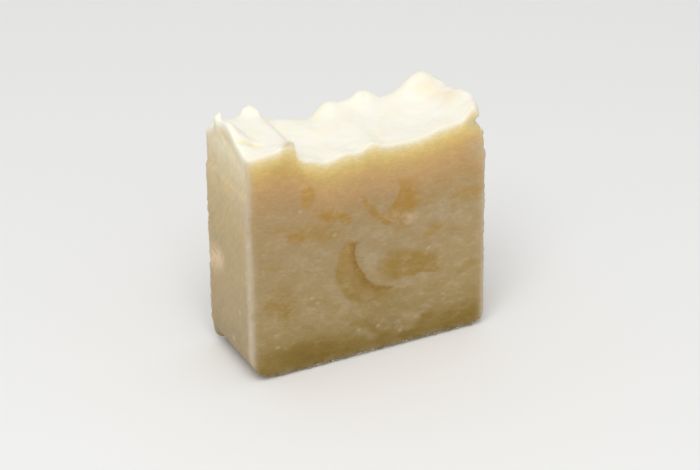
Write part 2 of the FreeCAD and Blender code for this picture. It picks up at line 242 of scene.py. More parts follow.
# %% The dent in the left wall, and the nicks and beads along the edges
WALL_DENT = [(-32.5, 9.0, 25.4), (-32.5, 6.0, 27.2), (-32.5, 3.2, 29.2)]
BACK_NICKS = [(-32.3, 12.0, 23.4), (-32.3, 12.0, 36.5), (-32.2, 11.8, 51.2), (-32.4, 12.0, 9.0)]
RIGHT_NICKS = [(32.2, -12.0, 22.5), (32.2, -12.0, 31.0), (32.2, -12.0, 43.5),
               (31.6, -12.0, 53.6)]
FRONT_BEADS = [(-32.4, -12.1, 39.0), (-32.4, -12.1, 24.6), (-32.4, -12.1, 14.6)]
FOOT_CORNER = [(-31.0, 11.6, 3.0), (-29.6, 11.6, 1.6)]
strokes("wall dent", WALL_DENT, reach=3.6, move=(0.3, 0, 0))
strokes("back nicks", BACK_NICKS, reach=1.3, move=(0.5, -0.3, 0), falloff="SHARP")
strokes("right nicks", RIGHT_NICKS, reach=1.2, move=(-0.4, 0.2, 0), falloff="SHARP")
strokes("front edge beads", FRONT_BEADS, reach=1.0, move=(-0.02, -0.02, 0))
strokes("back foot corner", FOOT_CORNER, reach=3.2, move=(-0.7, 0, -0.5))

# %% [markdown]
# ## Wear along the edges
#
# Soft soap never keeps a true edge. The wire tears crumbs out of the lower front edge, the
# corners get knocked, and the crown sets with a slightly lumpy skin. Hundreds of strokes could
# do that, but a displace modifier with a cloud texture gives such wear at once, and a vertex
# group says where: each weight is worked out from the point's place. The mid level of 1 means
# that soap only goes, as the bar can't grow past its own box.

# %% Wear from a texture of clouds
def near(value, target, reach):
    """1 where the value is at the target, falling evenly to 0 at the reach."""
    return np.clip(1 - np.abs(value - target) / reach, 0, 1)


def wear(name, weights, depth, grain, mid_level=1.0):
    """Pushes the skin inwards by clouds of this grain, in millimetres, where weights say."""
    weigh(name, weights)
    texture = bpy.data.textures.new(name, "CLOUDS")
    texture.noise_scale = grain * MM
    texture.noise_depth = 2
    texture.contrast = 1.6
    apply_modifier(soap, "DISPLACE", name, texture=texture, texture_coords="LOCAL",
                   vertex_group=name, strength=depth * MM, mid_level=mid_level)


# %% The torn foot and the knocked corners
MID_HEIGHT, CORNER_SPAN = 32, 31
across, through, up_high = skin_points().T / MM
wall_gap = HALF_WIDTH / MM - np.abs(across)
cut_gap = HALF_THICKNESS / MM - np.abs(through)
front_gap = through - FRONT / MM
any_gap = np.minimum(wall_gap, cut_gap)
corners = near(wall_gap, 0, 1.6) * near(cut_gap, 0, 1.6) * near(up_high, MID_HEIGHT, CORNER_SPAN)
wear("torn foot", near(up_high, 0, 1.9) * near(front_gap, 0, 1.5), depth=1.5, grain=0.9)
wear("other foot edges", near(up_high, 0, 1.5) * near(any_gap, 0, 1.5), depth=0.7, grain=1.1)
wear("knocked corners", corners, depth=0.7, grain=1.6)

# %% The lumpy crown, which is what faces up at the top
LEAST_TILT, TILT_FADE = 0.15, 0.4
CROWN_FROM, CROWN_FADE = 54.5, 2
BOTH_WAYS = 0.5
normals = np.empty(len(soap.data.vertices) * 3)
soap.data.vertex_normals.foreach_get("vector", normals)
facing_up = np.clip((normals.reshape(-1, 3)[:, 2] - LEAST_TILT) / TILT_FADE, 0, 1)
crown_share = facing_up * np.clip((up_high - CROWN_FROM) / CROWN_FADE, 0, 1)
wear("broad lumps", crown_share, depth=0.22, grain=3.6, mid_level=BOTH_WAYS)
wear("fine lumps", crown_share, depth=0.04, grain=1.2, mid_level=BOTH_WAYS)

# %% [markdown]
# ## How deep a point lies under the crown
#
# On the cut faces the colour changes with the depth under the crown: cream at the very edge,
# then a golden band, then tan. The cream and the gold are a painted glow, where the strong light
# comes through the soap from the crown, over the soap's own tan. The crown isn't level, so the
# height alone can't tell that depth. Rays dropped from above draw a map of the crown's height.
# Light spreads sideways in soap, so a deep point sees a softened map, and the step of the
# shelf leaves no hard line below itself. The depth is stored on the skin as an attribute.

# %% A map of the crown's height
GRID_STEP = 0.25
RAY_START = 0.1


def crown_map(inset):
    """The crown's height over an even grid, in millimetres, with the grid's own places."""
    tree = BVHTree.FromPolygons([Vector(p) for p in skin_points()],
                                [tuple(f.vertices) for f in soap.data.polygons])
    reach_x, reach_y = HALF_WIDTH / MM - inset, HALF_THICKNESS / MM - inset
    columns = np.linspace(-reach_x, reach_x, int(2 * reach_x / GRID_STEP))
    rows = np.linspace(-reach_y, reach_y, int(2 * reach_y / GRID_STEP))
    heights = np.zeros((len(columns), len(rows)))
    for i, x in enumerate(columns):
        for j, y in enumerate(rows):
            hit = tree.ray_cast(Vector((x * MM, y * MM, RAY_START)), Vector((0, 0, -1)))[0]
            heights[i, j] = hit.z / MM
    return columns, rows, heights


def read_map(columns, rows, heights, points):
    """The map's value at each point, straight between the four grid places round it."""
    spots = []
    for values, places in ((points[:, 0], columns), (points[:, 1], rows)):
        exact = np.interp(values, places, np.arange(len(places)))
        whole = np.clip(exact.astype(int), 0, len(places) - 2)
        spots.append((whole, exact - whole))
    (i, u), (j, v) = spots
    near_row = heights[i, j] * (1 - u) + heights[i + 1, j] * u
    far_row = heights[i, j + 1] * (1 - u) + heights[i + 1, j + 1] * u
    return near_row * (1 - v) + far_row * v


def soften(heights, reach):
    """The map averaged along the width with a bell-shaped weight."""
    steps = int(reach / GRID_STEP)
    wing = 2 * steps
    bell = np.exp(-0.5 * (np.arange(-wing, wing + 1) / steps) ** 2)
    padded = np.pad(heights, ((wing, wing), (0, 0)), mode="edge")
    return np.stack([np.convolve(row, bell / bell.sum(), mode="valid") for row in padded.T], axis=1)


# %% Store the depth under the crown
MAP_INSET = 0.9
LIGHT_SPREAD = 3.0
SHARP_DEPTH, SOFT_OVER = 0.6, 6


def store(name, values):
    """Keeps one value for each point of the skin, under a name that the material can read."""
    layer = soap.data.attributes.new(name, "FLOAT", "POINT")
    layer.data.foreach_set("value", values.astype(np.float32))


points = skin_points() / MM
columns, rows, heights = crown_map(MAP_INSET)
sharp = read_map(columns, rows, heights, points) - points[:, 2]
soft = read_map(columns, rows, soften(heights, LIGHT_SPREAD), points) - points[:, 2]
soft_share = np.clip((sharp - SHARP_DEPTH) / SOFT_OVER, 0, 1)
depth = np.maximum(0, sharp * (1 - soft_share) + soft * soft_share) * MM
store("under_crown", depth)
print("deepest point under the crown in mm:", round(depth.max() / MM, 1))

# %% [markdown]
# ## Places with tints, painted shade and painted highlights
#
# Some places have a tone that no rule of height gives: the crease and the fold under the left rim
# hold a golden painted shade, the dent in the wall carries a peach painted highlight, the hollow
# before the dollop and the dollop's flank hold a painted shade, and nicks dry pale. They could be
# painted on by hand. Here a value is stored on the skin's own points instead, which fades with
# the distance from a row of places, so that it follows the strokes above.

# %% A glaze along a row of places
def along(places, extra=6):
    """The same row of places with more places between them."""
    row = np.array(places)
    marks = np.linspace(0, len(row) - 1, extra * (len(row) - 1) + 1)
    return [tuple(np.interp(marks, np.arange(len(row)), row[:, axis])[i] for axis in range(3))
            for i in range(len(marks))]


def glaze(name, places, reach):
    """An attribute on the skin: 1 at these places, fading to 0 at the reach."""
    points = skin_points() / MM
    amount = np.zeros(len(points))
    for place in places:
        gaps = np.linalg.norm(points - np.array(place), axis=1)
        closeness = np.clip(1 - gaps / reach, 0, 1)
        amount = np.maximum(amount, closeness * closeness * (3 - 2 * closeness))
    store(name, amount)


# %% Store the tints: where, and how far each reaches
WALL_FLECKS = [(-32.5, -11.0, 31.2), (-32.5, -6.6, 17.9), (-32.5, -2.4, 8.5), (-32.5, 9.8, 23.2)]
TINTS = {
    # Painted shade, golden, in the crease and in the fold under the left rim.
    "crease_shade": (along(SHELF_CREASE[1:]) + along(LEFT_FOLD), 1.1),
    # Painted highlight, peach, on the dent in the left wall.
    "dent_highlight": (along(WALL_DENT[:2]), 5.4),
    "dry": (BACK_NICKS[:2] + FRONT_BEADS + WALL_FLECKS, 1.0),
    # Painted shade, tan, on the dollop's flank.
    "flank": ([(31.6, -12.2, 58.6), (31.8, -12.0, 60.4), (31.8, -8.6, 59.8),
               (29.0, -12.2, 58.4)], 3.4),
    "shoulder": ([(32.0, -12.0, 53.0), (30.6, -12.2, 51.0), (32.2, -12.0, 56.0)], 6.0),
    # Painted shade, warm, in the hollow before the dollop.
    "hollow_shade": ([(26.4, 7.5, 60.0), (28.0, -1.2, 60.7), (27.2, 4.0, 59.6)], 5.0),
    "lip": ([(-21.3, -12.6, 64.4), (-20.6, -12.8, 63.2)], 2.6),
}
for name, (places, reach) in TINTS.items():
    glaze(name, places, reach)
pick_only(soap)
bpy.ops.object.shade_smooth()
print("tints:", ", ".join(TINTS))

# %% [markdown]
# ## Nodes in few words
#
# A material is a tree of small steps. Each could be placed and joined in the shader editor, but
# this one has hundreds, and in code they can be read in order. These helpers keep each step on
# one line: one adds a node, one joins sockets or sets numbers, and one does arithmetic.

# %% Helpers for shader nodes
def add(tree, kind, **settings):
    """A new node of this kind with these settings."""
    node = tree.nodes.new(kind)
    for key, value in settings.items():
        setattr(node, key, value)
    return node


def feed(tree, socket, value):
    """Joins another node's output to this input, or sets it to a plain value."""
    if isinstance(value, bpy.types.NodeSocket):
        tree.links.new(value, socket)
    else:
        socket.default_value = value


def calc(tree, operation, *values):
    """The result of one arithmetic step."""
    node = add(tree, "ShaderNodeMath", operation=operation)
    for socket, value in zip(node.inputs, values):
        feed(tree, socket, value)
    return node.outputs[0]


def fade(tree, value, start, end, kind="SMOOTHSTEP"):
    """1 where the value has reached the end, 0 where it hasn't reached the start."""
    node = add(tree, "ShaderNodeMapRange", interpolation_type=kind)
    feed(tree, node.inputs["Value"], value)
    feed(tree, node.inputs["From Min"], start)
    feed(tree, node.inputs["From Max"], end)
    return node.outputs["Result"]


def blend(tree, amount, under, over, kind="MIX"):
    """One colour laid over another by an amount."""
    node = add(tree, "ShaderNodeMix", data_type="RGBA", blend_type=kind)
    feed(tree, node.inputs["Factor"], amount)
    feed(tree, node.inputs["A"], under)
    feed(tree, node.inputs["B"], over)
    return node.outputs["Result"]


# %% Helpers for clouds, colours and groups
def noise(tree, vector, scale, detail=3.0, roughness=0.55):
    """A cloudy value from 0 to 1, with this many clouds to the metre."""
    node = add(tree, "ShaderNodeTexNoise")
    feed(tree, node.inputs["Vector"], vector)
    feed(tree, node.inputs["Scale"], scale)
    feed(tree, node.inputs["Detail"], detail)
    feed(tree, node.inputs["Roughness"], roughness)
    return node.outputs["Fac"]


def clouds(tree, vector, size, detail=3.0, roughness=0.55):
    """A cloudy value whose clouds have this size across, through and up, in millimetres."""
    node = add(tree, "ShaderNodeMapping")
    feed(tree, node.inputs["Vector"], vector)
    node.inputs["Scale"].default_value = [1 / (length * MM) for length in size]
    return noise(tree, node.outputs["Vector"], 1.0, detail, roughness)


def colour(red, green, blue):
    """A display colour from 0 to 255 as the linear colour that nodes use."""
    linear = [(c / 255 / 12.92 if c <= 10 else ((c / 255 + 0.055) / 1.055) ** 2.4)
              for c in (red, green, blue)]
    return (*linear, 1.0)


def new_group(name, inputs, outputs):
    """A node group with named sockets; each is given as name: kind."""
    group = bpy.data.node_groups.new(name, "ShaderNodeTree")
    for label, kind in inputs.items():
        group.interface.new_socket(label, in_out="INPUT", socket_type=f"NodeSocket{kind}")
    for label, kind in outputs.items():
        group.interface.new_socket(label, in_out="OUTPUT", socket_type=f"NodeSocket{kind}")
    return group, group.nodes.new("NodeGroupInput"), group.nodes.new("NodeGroupOutput")


def use_group(tree, group, **values):
    """The group placed in a tree, with its inputs set."""
    node = add(tree, "ShaderNodeGroup", node_tree=group)
    for key, value in values.items():
        feed(tree, node.inputs[key], value)
    return node


# %% [markdown]
# ## Soap patches
#
# Soap poured in stages keeps soft-edged patches of another tone. On the cut face they are
# ovals, lenses and one bold crescent, which is an oval with another oval taken out of it. So
# one group makes a single soft oval in the plane of the cut, at any place, size and turn, and
# the crescent costs two of them. A mapping of the texture kind undoes the place, turn and size,
# so that the oval becomes a round spot of radius 1, whatever the depth through the slice.

# %% The soft oval group
def make_oval_group():
    """A soft oval seen from the front: 1 inside, 0 outside, with a soft rim."""
    group, given, out = new_group(
        "Soap oval",
        {"Vector": "Vector", "Middle": "Vector", "Turn": "Vector", "Size": "Vector",
         "Softness": "Float"},
        {"Mask": "Float"})
    fitted = add(group, "ShaderNodeMapping", vector_type="TEXTURE")
    feed(group, fitted.inputs["Vector"], given.outputs["Vector"])
    feed(group, fitted.inputs["Location"], given.outputs["Middle"])
    feed(group, fitted.inputs["Rotation"], given.outputs["Turn"])
    feed(group, fitted.inputs["Scale"], given.outputs["Size"])
    length = add(group, "ShaderNodeVectorMath", operation="LENGTH")
    feed(group, length.inputs[0], fitted.outputs["Vector"])
    outer = calc(group, "ADD", 1.0, given.outputs["Softness"])
    inner = calc(group, "SUBTRACT", 1.0, given.outputs["Softness"])
    feed(group, out.inputs["Mask"], fade(group, length.outputs["Value"], outer, inner))
    return group


OVAL = make_oval_group()
RIGHT_THROUGH = 1000.0


def oval(tree, vector, across, up, half_width, half_height, turn, softness):
    """The mask of one oval, placed in millimetres, turned in degrees."""
    node = use_group(tree, OVAL, Vector=vector, Middle=(across * MM, 0, up * MM),
                     Turn=(0, -math.radians(turn), 0), Softness=softness,
                     Size=(half_width * MM, RIGHT_THROUGH, half_height * MM))
    return node.outputs["Mask"]


print("group:", OVAL.name)

# %% [markdown]
# ## Wire lines, grain and crumbs
#
# The wire drags the soft soap along as it cuts, which leaves fine level lines, longer than they
# are high. A noise that is stretched along X makes them. Dry soap crumbs are tiny pale
# specks, which a Voronoi pattern gives: each cell has one point, and a speck is what lies
# close to it, in the few cells that a second value picks.

# %% The wire line group
LONG_LINE = (9, 6, 0.42)
SHORT_LINE = (2.2, 2, 0.22)
LONG_SHARE = 0.55


def make_wire_group():
    """Level drag lines of two lengths, from 0 to 1."""
    group, given, out = new_group("Wire lines", {"Vector": "Vector"}, {"Lines": "Float"})
    long_lines = clouds(group, given.outputs["Vector"], LONG_LINE, detail=2.0)
    short_lines = clouds(group, given.outputs["Vector"], SHORT_LINE, detail=2.0)
    both = calc(group, "ADD", calc(group, "MULTIPLY", long_lines, LONG_SHARE),
                calc(group, "MULTIPLY", short_lines, 1 - LONG_SHARE))
    feed(group, out.inputs["Lines"], both)
    return group


# %% The crumb group
SOLID_CORE = 0.4


def make_crumb_group():
    """Scattered specks: spacing and size in metres, and the share of cells with a speck."""
    group, given, out = new_group(
        "Soap crumbs", {"Vector": "Vector", "Spacing": "Float", "Size": "Float", "Share": "Float"},
        {"Specks": "Float"})
    cells = add(group, "ShaderNodeTexVoronoi")
    feed(group, cells.inputs["Vector"], given.outputs["Vector"])
    feed(group, cells.inputs["Scale"], calc(group, "DIVIDE", 1.0, given.outputs["Spacing"]))
    size = calc(group, "DIVIDE", given.outputs["Size"], given.outputs["Spacing"])
    core = calc(group, "MULTIPLY", size, SOLID_CORE)
    inside = fade(group, cells.outputs["Distance"], size, core)
    pick = add(group, "ShaderNodeSeparateColor")
    feed(group, pick.inputs[0], cells.outputs["Color"])
    chosen = calc(group, "LESS_THAN", pick.outputs["Red"], given.outputs["Share"])
    feed(group, out.inputs["Specks"], calc(group, "MULTIPLY", inside, chosen))
    return group


WIRE = make_wire_group()
CRUMBS = make_crumb_group()
print("groups:", WIRE.name, "and", CRUMBS.name)

# %% [markdown]
# ## The colours of the bar
#
# The same soap shows four tones. Under the knife it is tan; towards the slice's foot it is darker,
# which is painted shade; the moulded wall is greyer and paler; and the crown, which dried in the
# open air, is cream. One flat colour each would leave hard borders between them, so each tone is
# a ramp over a real distance: the height over the base, or the depth under the crown.

# %% Ramps over a distance
def ramp(tree, value, stops):
    """Colours along a distance: the stops are (millimetres, colour), and the last is the end."""
    reach = stops[-1][0]
    node = add(tree, "ShaderNodeValToRGB")
    feed(tree, node.inputs["Fac"], calc(tree, "DIVIDE", value, reach * MM))
    stones = node.color_ramp.elements
    while len(stones) < len(stops):
        stones.new(1.0)
    for stone, (distance, tone) in zip(stones, stops):
        stone.position = distance / reach
        stone.color = tone
    return node.outputs["Color"]


# %% The cut's tones, and the gold of its patches
# The cut's tan gets darker towards the foot: painted shade over the soap's own tone.
CUT_TONE_AND_SHADE_BY_HEIGHT = [(0, colour(128, 106, 55)), (2, colour(136, 113, 56)),
                 (4.5, colour(146, 122, 65)), (7.5, colour(152, 129, 78)),
                 (10, colour(159, 136, 88)), (14, colour(166, 144, 98)),
                 (20, colour(170, 147, 104)), (36, colour(172, 148, 106)),
                 (50, colour(179, 150, 103))]
# Painted glow: cream and gold under the crown, where strong light comes through the soap.
CUT_GLOW_BY_DEPTH = [(0, colour(246, 239, 217)), (1.0, colour(242, 229, 193)),
                (2.2, colour(232, 211, 148)), (4.2, colour(219, 189, 118)),
                (7.0, colour(206, 170, 111)), (10, colour(196, 159, 108)),
                (14, colour(187, 152, 105)), (20, colour(179, 149, 104))]
# The patches' own gold, also painted darker towards the foot as shade.
PATCH_GOLD_AND_SHADE_BY_HEIGHT = [(0, colour(120, 95, 33)), (6, colour(132, 106, 40)), (12, colour(148, 120, 54)),
                  (24, colour(160, 129, 62)), (34, colour(169, 132, 60)),
                  (44, colour(177, 135, 56)), (54, colour(192, 149, 68))]
GREY_TAN = colour(176, 156, 122)
PINK_TAN = colour(206, 177, 141)
DEEP_GOLD = colour(145, 110, 42)
SHOULDER_TAN = colour(190, 168, 130)
# Painted highlight and glow at the edges, and the pale of dry soap along the foot.
EDGE_HIGHLIGHT_AND_DRY_PALE = colour(205, 193, 172)
CRUMB_PALE = colour(208, 195, 167)
FOOT_DUST = colour(172, 156, 128)
print("stops over the cut face:", len(CUT_TONE_AND_SHADE_BY_HEIGHT), "by height,", len(CUT_GLOW_BY_DEPTH), "by depth")

# %% The tones of the walls and of the crown
# The walls get darker towards the foot: painted shade over the wall's own tone.
WALL_TONE_AND_SHADE_BY_HEIGHT = [(0, colour(148, 130, 92)), (5, colour(166, 146, 109)),
                  (14, colour(180, 159, 122)), (28, colour(188, 166, 125)),
                  (36, colour(192, 170, 127)), (45, colour(202, 180, 138)),
                  (51, colour(215, 195, 153)), (56, colour(228, 211, 172)),
                  (60, colour(238, 226, 194))]
# Painted glow on the walls under the crown, as on the cut.
WALL_GLOW_BY_DEPTH = [(0, colour(250, 246, 230)), (1.0, colour(246, 239, 215)),
                 (2.4, colour(232, 219, 184)), (5.0, colour(218, 201, 160))]
WALL_GOLD = colour(250, 243, 216)
# Painted highlight on the wall's dent.
DENT_HIGHLIGHT_PEACH = colour(228, 201, 164)
CREAM = colour(255, 251, 235)
WARM_CREAM = colour(254, 244, 219)
EDGE_CREAM = colour(247, 240, 221)
# Painted shade in the crown's hollow.
HOLLOW_SHADE_WARM = colour(255, 238, 212)
# Painted shade in the folds.
CREASE_SHADE_GOLD = colour(247, 225, 168)
# Painted shade on the dollop's flank, and the lip's own tan.
FLANK_SHADE_AND_LIP_TAN = colour(212, 196, 156)
print("stops over the walls:", len(WALL_TONE_AND_SHADE_BY_HEIGHT), "by height,", len(WALL_GLOW_BY_DEPTH), "by depth")

# %% [markdown]
# ## Where is what
#
# The masks below say which skin a point is on. A cut face is where Y is at either end of the
# thickness, a moulded wall where X is at either end of the width. A face's direction could tell
# them apart too, but reading the place keeps the borders at the real edges, which are sharp
# where the wire went through.

# %% The soap's material, and the place on the bar
soap_paint = bpy.data.materials.new("Soap")
soap_paint.use_nodes = True
paint = soap_paint.node_tree
paint.nodes.clear()


def stored(name):
    """The value that the skin holds under this name."""
    return add(paint, "ShaderNodeAttribute", attribute_name=name).outputs["Fac"]


place = add(paint, "ShaderNodeTexCoord").outputs["Object"]
axes = add(paint, "ShaderNodeSeparateXYZ")
feed(paint, axes.inputs[0], place)
side = calc(paint, "ABSOLUTE", axes.outputs["X"])
face = calc(paint, "ABSOLUTE", axes.outputs["Y"])
height = axes.outputs["Z"]
under = stored("under_crown")
print("material:", soap_paint.name)

# %% The masks for the cut faces, walls, edges and foot
def times(first, *others):
    """Masks and strengths multiplied."""
    for other in others:
        first = calc(paint, "MULTIPLY", first, other)
    return first


def strongest(first, *others):
    """The highest of several masks at each point."""
    for other in others:
        first = calc(paint, "MAXIMUM", first, other)
    return first


def over(distance, start, end):
    """0 up to the start and 1 past the end, in millimetres; they may stand in either order."""
    return fade(paint, distance, start * MM, end * MM)


def close_to(border, distance, start, end=0):
    """0 until the start, in millimetres before a border, and 1 past the end before it."""
    return fade(paint, distance, border - start * MM, border - end * MM)


on_cut = close_to(HALF_THICKNESS, face, 0.75, 0.35)
near_wall = close_to(HALF_WIDTH, side, 3.2)
at_edge = times(close_to(HALF_WIDTH, side, 1.9, 0.3), close_to(HALF_THICKNESS, face, 2.4, 0.3))
at_foot = over(height, 1.6, 0.3)
print("masks for the cut faces, walls, edges and foot")

# %% [markdown]
# ## The swirl in the slice
#
# First come the patches, which are bent a little by a noise so that no oval is perfect. A swirl
# never runs straight through a slice. Patches painted on the front alone would end there, so
# they are sheared through the thickness: the back shows the same swirl, but shifted, and the
# boldest patches are weaker there.

# %% The bent and sheared place
BEND_SIZE = 4.5 * MM
BEND_REACH = 2.6 * MM
LEAN_ACROSS, LEAN_UP = 0.52, -0.22
bend = add(paint, "ShaderNodeTexNoise")
feed(paint, bend.inputs["Vector"], place)
feed(paint, bend.inputs["Scale"], 1 / BEND_SIZE)
feed(paint, bend.inputs["Detail"], 3.0)
centred = add(paint, "ShaderNodeVectorMath", operation="SUBTRACT")
feed(paint, centred.inputs[0], bend.outputs["Color"])
feed(paint, centred.inputs[1], (0.5, 0.5, 0.5))
swayed = add(paint, "ShaderNodeVectorMath", operation="MULTIPLY_ADD")
feed(paint, swayed.inputs[0], centred.outputs[0])
feed(paint, swayed.inputs[1], (BEND_REACH, 0, BEND_REACH))
feed(paint, swayed.inputs[2], place)
from_front = calc(paint, "SUBTRACT", axes.outputs["Y"], FRONT)
shear = add(paint, "ShaderNodeCombineXYZ")
feed(paint, shear.inputs["X"], times(from_front, LEAN_ACROSS))
feed(paint, shear.inputs["Z"], times(from_front, LEAN_UP))
swirled = add(paint, "ShaderNodeVectorMath", operation="ADD")
feed(paint, swirled.inputs[0], swayed.outputs[0])
feed(paint, swirled.inputs[1], shear.outputs[0])
swirl_place = swirled.outputs[0]
print("bent by up to", round(BEND_REACH / 2 / MM, 1), "mm")

# %% The dark patches: across, up, half width, half height, turn, softness, strength
SLANT = -16
DARK_OVALS = {
    "upper left drop": (-16.5, 49.0, 1.9, 3.2, 0, 0.35, 0.9),
    "upper gold band": (-21.0, 56.6, 7.0, 2.2, SLANT, 0.8, 0.35),
    "left streak": (-10.0, 41.9, 3.6, 1.5, SLANT, 0.5, 1.0),
    "middle streak": (-6.8, 40.6, 2.4, 1.6, -28, 0.5, 1.0),
    "streak top": (-1.0, 43.6, 0.8, 2.0, 22, 0.5, 0.8),
    "thin streak": (1.6, 40.0, 0.9, 3.4, 34, 0.5, 0.75),
    "streak foot": (4.4, 37.0, 1.9, 0.8, -30, 0.5, 0.85),
    "long cloud": (-14.0, 38.4, 6.6, 2.2, SLANT, 0.7, 0.55),
    "left fleck": (-19.8, 38.2, 3.0, 1.3, SLANT, 0.6, 0.9),
    "far right fleck": (16.8, 38.8, 1.4, 0.6, SLANT, 0.7, 0.6),
    "long thin line": (21.4, 30.4, 5.4, 0.5, -21, 0.7, 0.4),
    "under the crescent": (3.0, 14.0, 5.0, 2.4, SLANT, 0.8, 0.4),
    "inside the arc": (9.0, 15.4, 1.8, 2.4, 30, 0.8, 0.3),
    "lower left cloud": (-23.4, 20.4, 3.0, 5.0, 12, 0.7, 0.8),
    "foot band left": (-15.6, 5.0, 11.0, 3.4, -8, 0.6, 0.8),
    "foot band right": (25.0, 4.4, 7.0, 3.0, 14, 0.6, 0.6),
    "foot fleck": (14.2, 3.4, 2.2, 0.8, SLANT, 0.7, 0.5),
    "upper right glow": (26.0, 47.0, 5.0, 7.0, 0, 0.9, 0.12),
}
print("dark ovals:", len(DARK_OVALS))

# %% The pale and the pinkish patches, and the pale flecks (across, up)
PALE_OVALS = {
    "comma": (0.2, 27.4, 2.2, 4.9, 36, 0.4, 0.7),
    "comma tail": (9.6, 18.2, 8.4, 1.0, -5, 0.6, 0.55),
    "low middle veil": (8.0, 7.6, 4.0, 2.6, SLANT, 0.8, 0.7),
    "middle veil": (-2.0, 35.4, 9.0, 1.4, SLANT, 0.8, 0.6),
    "crescent's outer rim": (-10.3, 26.0, 0.9, 7.0, 4, 0.7, 0.4),
    "low arc": (-6.4, 16.6, 4.2, 0.9, -40, 0.7, 0.55),
    "low right arc": (13.4, 8.6, 4.6, 1.0, 28, 0.8, 0.6),
    "low left veil": (-13.6, 14.6, 5.0, 2.2, -30, 0.8, 0.5),
    "right veil": (21.0, 35.0, 7.0, 3.0, SLANT, 0.9, 0.6),
    "left veil": (-15.0, 31.0, 6.0, 2.6, SLANT, 0.9, 0.5),
    "foot veil": (-1.6, 6.6, 3.4, 1.0, -30, 0.8, 0.5),
}
PINK_OVALS = {
    "upper pale patch": (9.3, 36.7, 3.8, 1.5, SLANT, 0.6, 0.8),
    "pinkish veil": (14.0, 47.0, 5.4, 2.0, -22, 0.8, 0.15),
    "upper middle veil": (3.6, 46.0, 3.2, 2.4, -40, 0.7, 0.4),
}
FLECKS = [(-9.2, 36.6), (16.8, 26.3), (-18.4, 45.3), (2.4, 8.2), (8.5, 4.8), (-3.1, 8.0),
          (-14.4, 18.8), (-15.6, 20.6), (20.4, 12.2), (-25.0, 9.4)]
FLECK_SHAPE = (0.5, 0.4, 0, 0.9)
print("pale ovals:", len(PALE_OVALS), "pinkish:", len(PINK_OVALS), "flecks:", len(FLECKS))

# %% The masks of the ovals
def patch(across, up, half_width, half_height, turn, softness):
    """One oval of the swirl."""
    return oval(paint, swirl_place, across, up, half_width, half_height, turn, softness)


def gather(ovals):
    """The masks of several ovals, each times its strength, laid over each other."""
    return strongest(*(times(patch(*numbers), strength) for *numbers, strength in ovals.values()))


def without(mask, cut_out):
    """A mask with another one taken out of it."""
    return times(mask, calc(paint, "SUBTRACT", 1.0, cut_out))


dark = gather(DARK_OVALS)
pale = gather(PALE_OVALS)
pink = gather(PINK_OVALS)
flecks = strongest(*(patch(*middle, *FLECK_SHAPE) for middle in FLECKS))
print("oval masks gathered")

# %% The bold patches: the crescent with its dark inner rim, the lens and the wedge
FADE_THROUGH = -0.6
swirl_outer = without(patch(0.0, 26.0, 9.1, 11.0, 0, 0.06), patch(-3.0, 38.9, 8.0, 5.9, 0, 0.06))
crescent = without(swirl_outer, patch(5.4, 29.3, 9.0, 11.2, 20, 0.05))
crescent_rim = times(without(swirl_outer, patch(5.5, 29.4, 9.0, 11.2, 20, 0.04)),
                     patch(4.2, 28.7, 9.0, 11.3, 20, 0.10))
top_line = patch(-4.2, 32.7, 2.0, 0.45, 0, 0.5)
lens = without(patch(11.4, 22.2, 8.6, 4.4, -12, 0.25), patch(12.4, 14.2, 12.0, 5.6, -4, 0.05))
wedge = without(patch(9.4, 41.8, 4.4, 4.6, -30, 0.5), patch(3.4, 44.2, 4.6, 5.2, -14, 0.05))

through_slice = fade(paint, from_front, 2 * MM, 2 * HALF_THICKNESS, "LINEAR")
still_bold = calc(paint, "MULTIPLY_ADD", through_slice, FADE_THROUGH, 1.0)
bold = strongest(times(crescent, 0.75), times(lens, 0.9), times(wedge, 0.95))
bold = times(bold, still_bold)
deep_line = times(strongest(times(crescent_rim, 0.9), times(top_line, 0.5)), still_bold)
print("bold patches: crescent, lens and wedge")

# %% [markdown]
# ## Mottling and lines over the patches
#
# Oils and lye never mix evenly, so the tan wavers between a greyer and a more golden tone, in
# clouds at two sizes. The wire went through a little askew and left faint lines that fall to
# the right. Laid evenly over the face both would look printed on. So they come and go, as the
# soap's own clouds break them up.

# %% The patterns that the tones share
GRAIN_SIZE = 0.3 * MM
askew = add(paint, "ShaderNodeMapping")
feed(paint, askew.inputs["Vector"], place)
askew.inputs["Rotation"].default_value = (0, math.radians(SLANT), 0)
leaning = askew.outputs["Vector"]
wire_lines = use_group(paint, WIRE, Vector=leaning).outputs["Lines"]
broad_clouds = clouds(paint, swirl_place, (9, 9, 5), detail=3.0, roughness=0.6)
mottling = clouds(paint, swirl_place, (3.4, 3.4, 2.0), detail=5.0, roughness=0.68)
fine_clouds = clouds(paint, leaning, (1.3, 1.0, 0.7), detail=4.0, roughness=0.7)
grain = noise(paint, place, 1 / GRAIN_SIZE, detail=2.0)
print("patterns: wire lines, three sizes of clouds and grain")

# %% Ways to lay one tone over another
def lay(below, above, mask, strength=None, kind="MIX"):
    """A tone with another laid over it where the mask says, at this strength."""
    amount = mask if strength is None else times(mask, strength)
    return blend(paint, amount, below, above, kind)


def lighten(tone, pattern, swing):
    """The tone made lighter and darker by a pattern round 0.5, by this swing each way."""
    factor = calc(paint, "MULTIPLY_ADD", calc(paint, "SUBTRACT", pattern, 0.5), 2 * swing, 1.0)
    grey = add(paint, "ShaderNodeCombineColor")
    for channel in grey.inputs:
        feed(paint, channel, factor)
    return blend(paint, 1.0, tone, grey.outputs["Color"], "MULTIPLY")


def broken(mask, pattern, start, end):
    """A mask that only holds where a pattern has passed from the start to the end."""
    return times(mask, fade(paint, pattern, start, end))


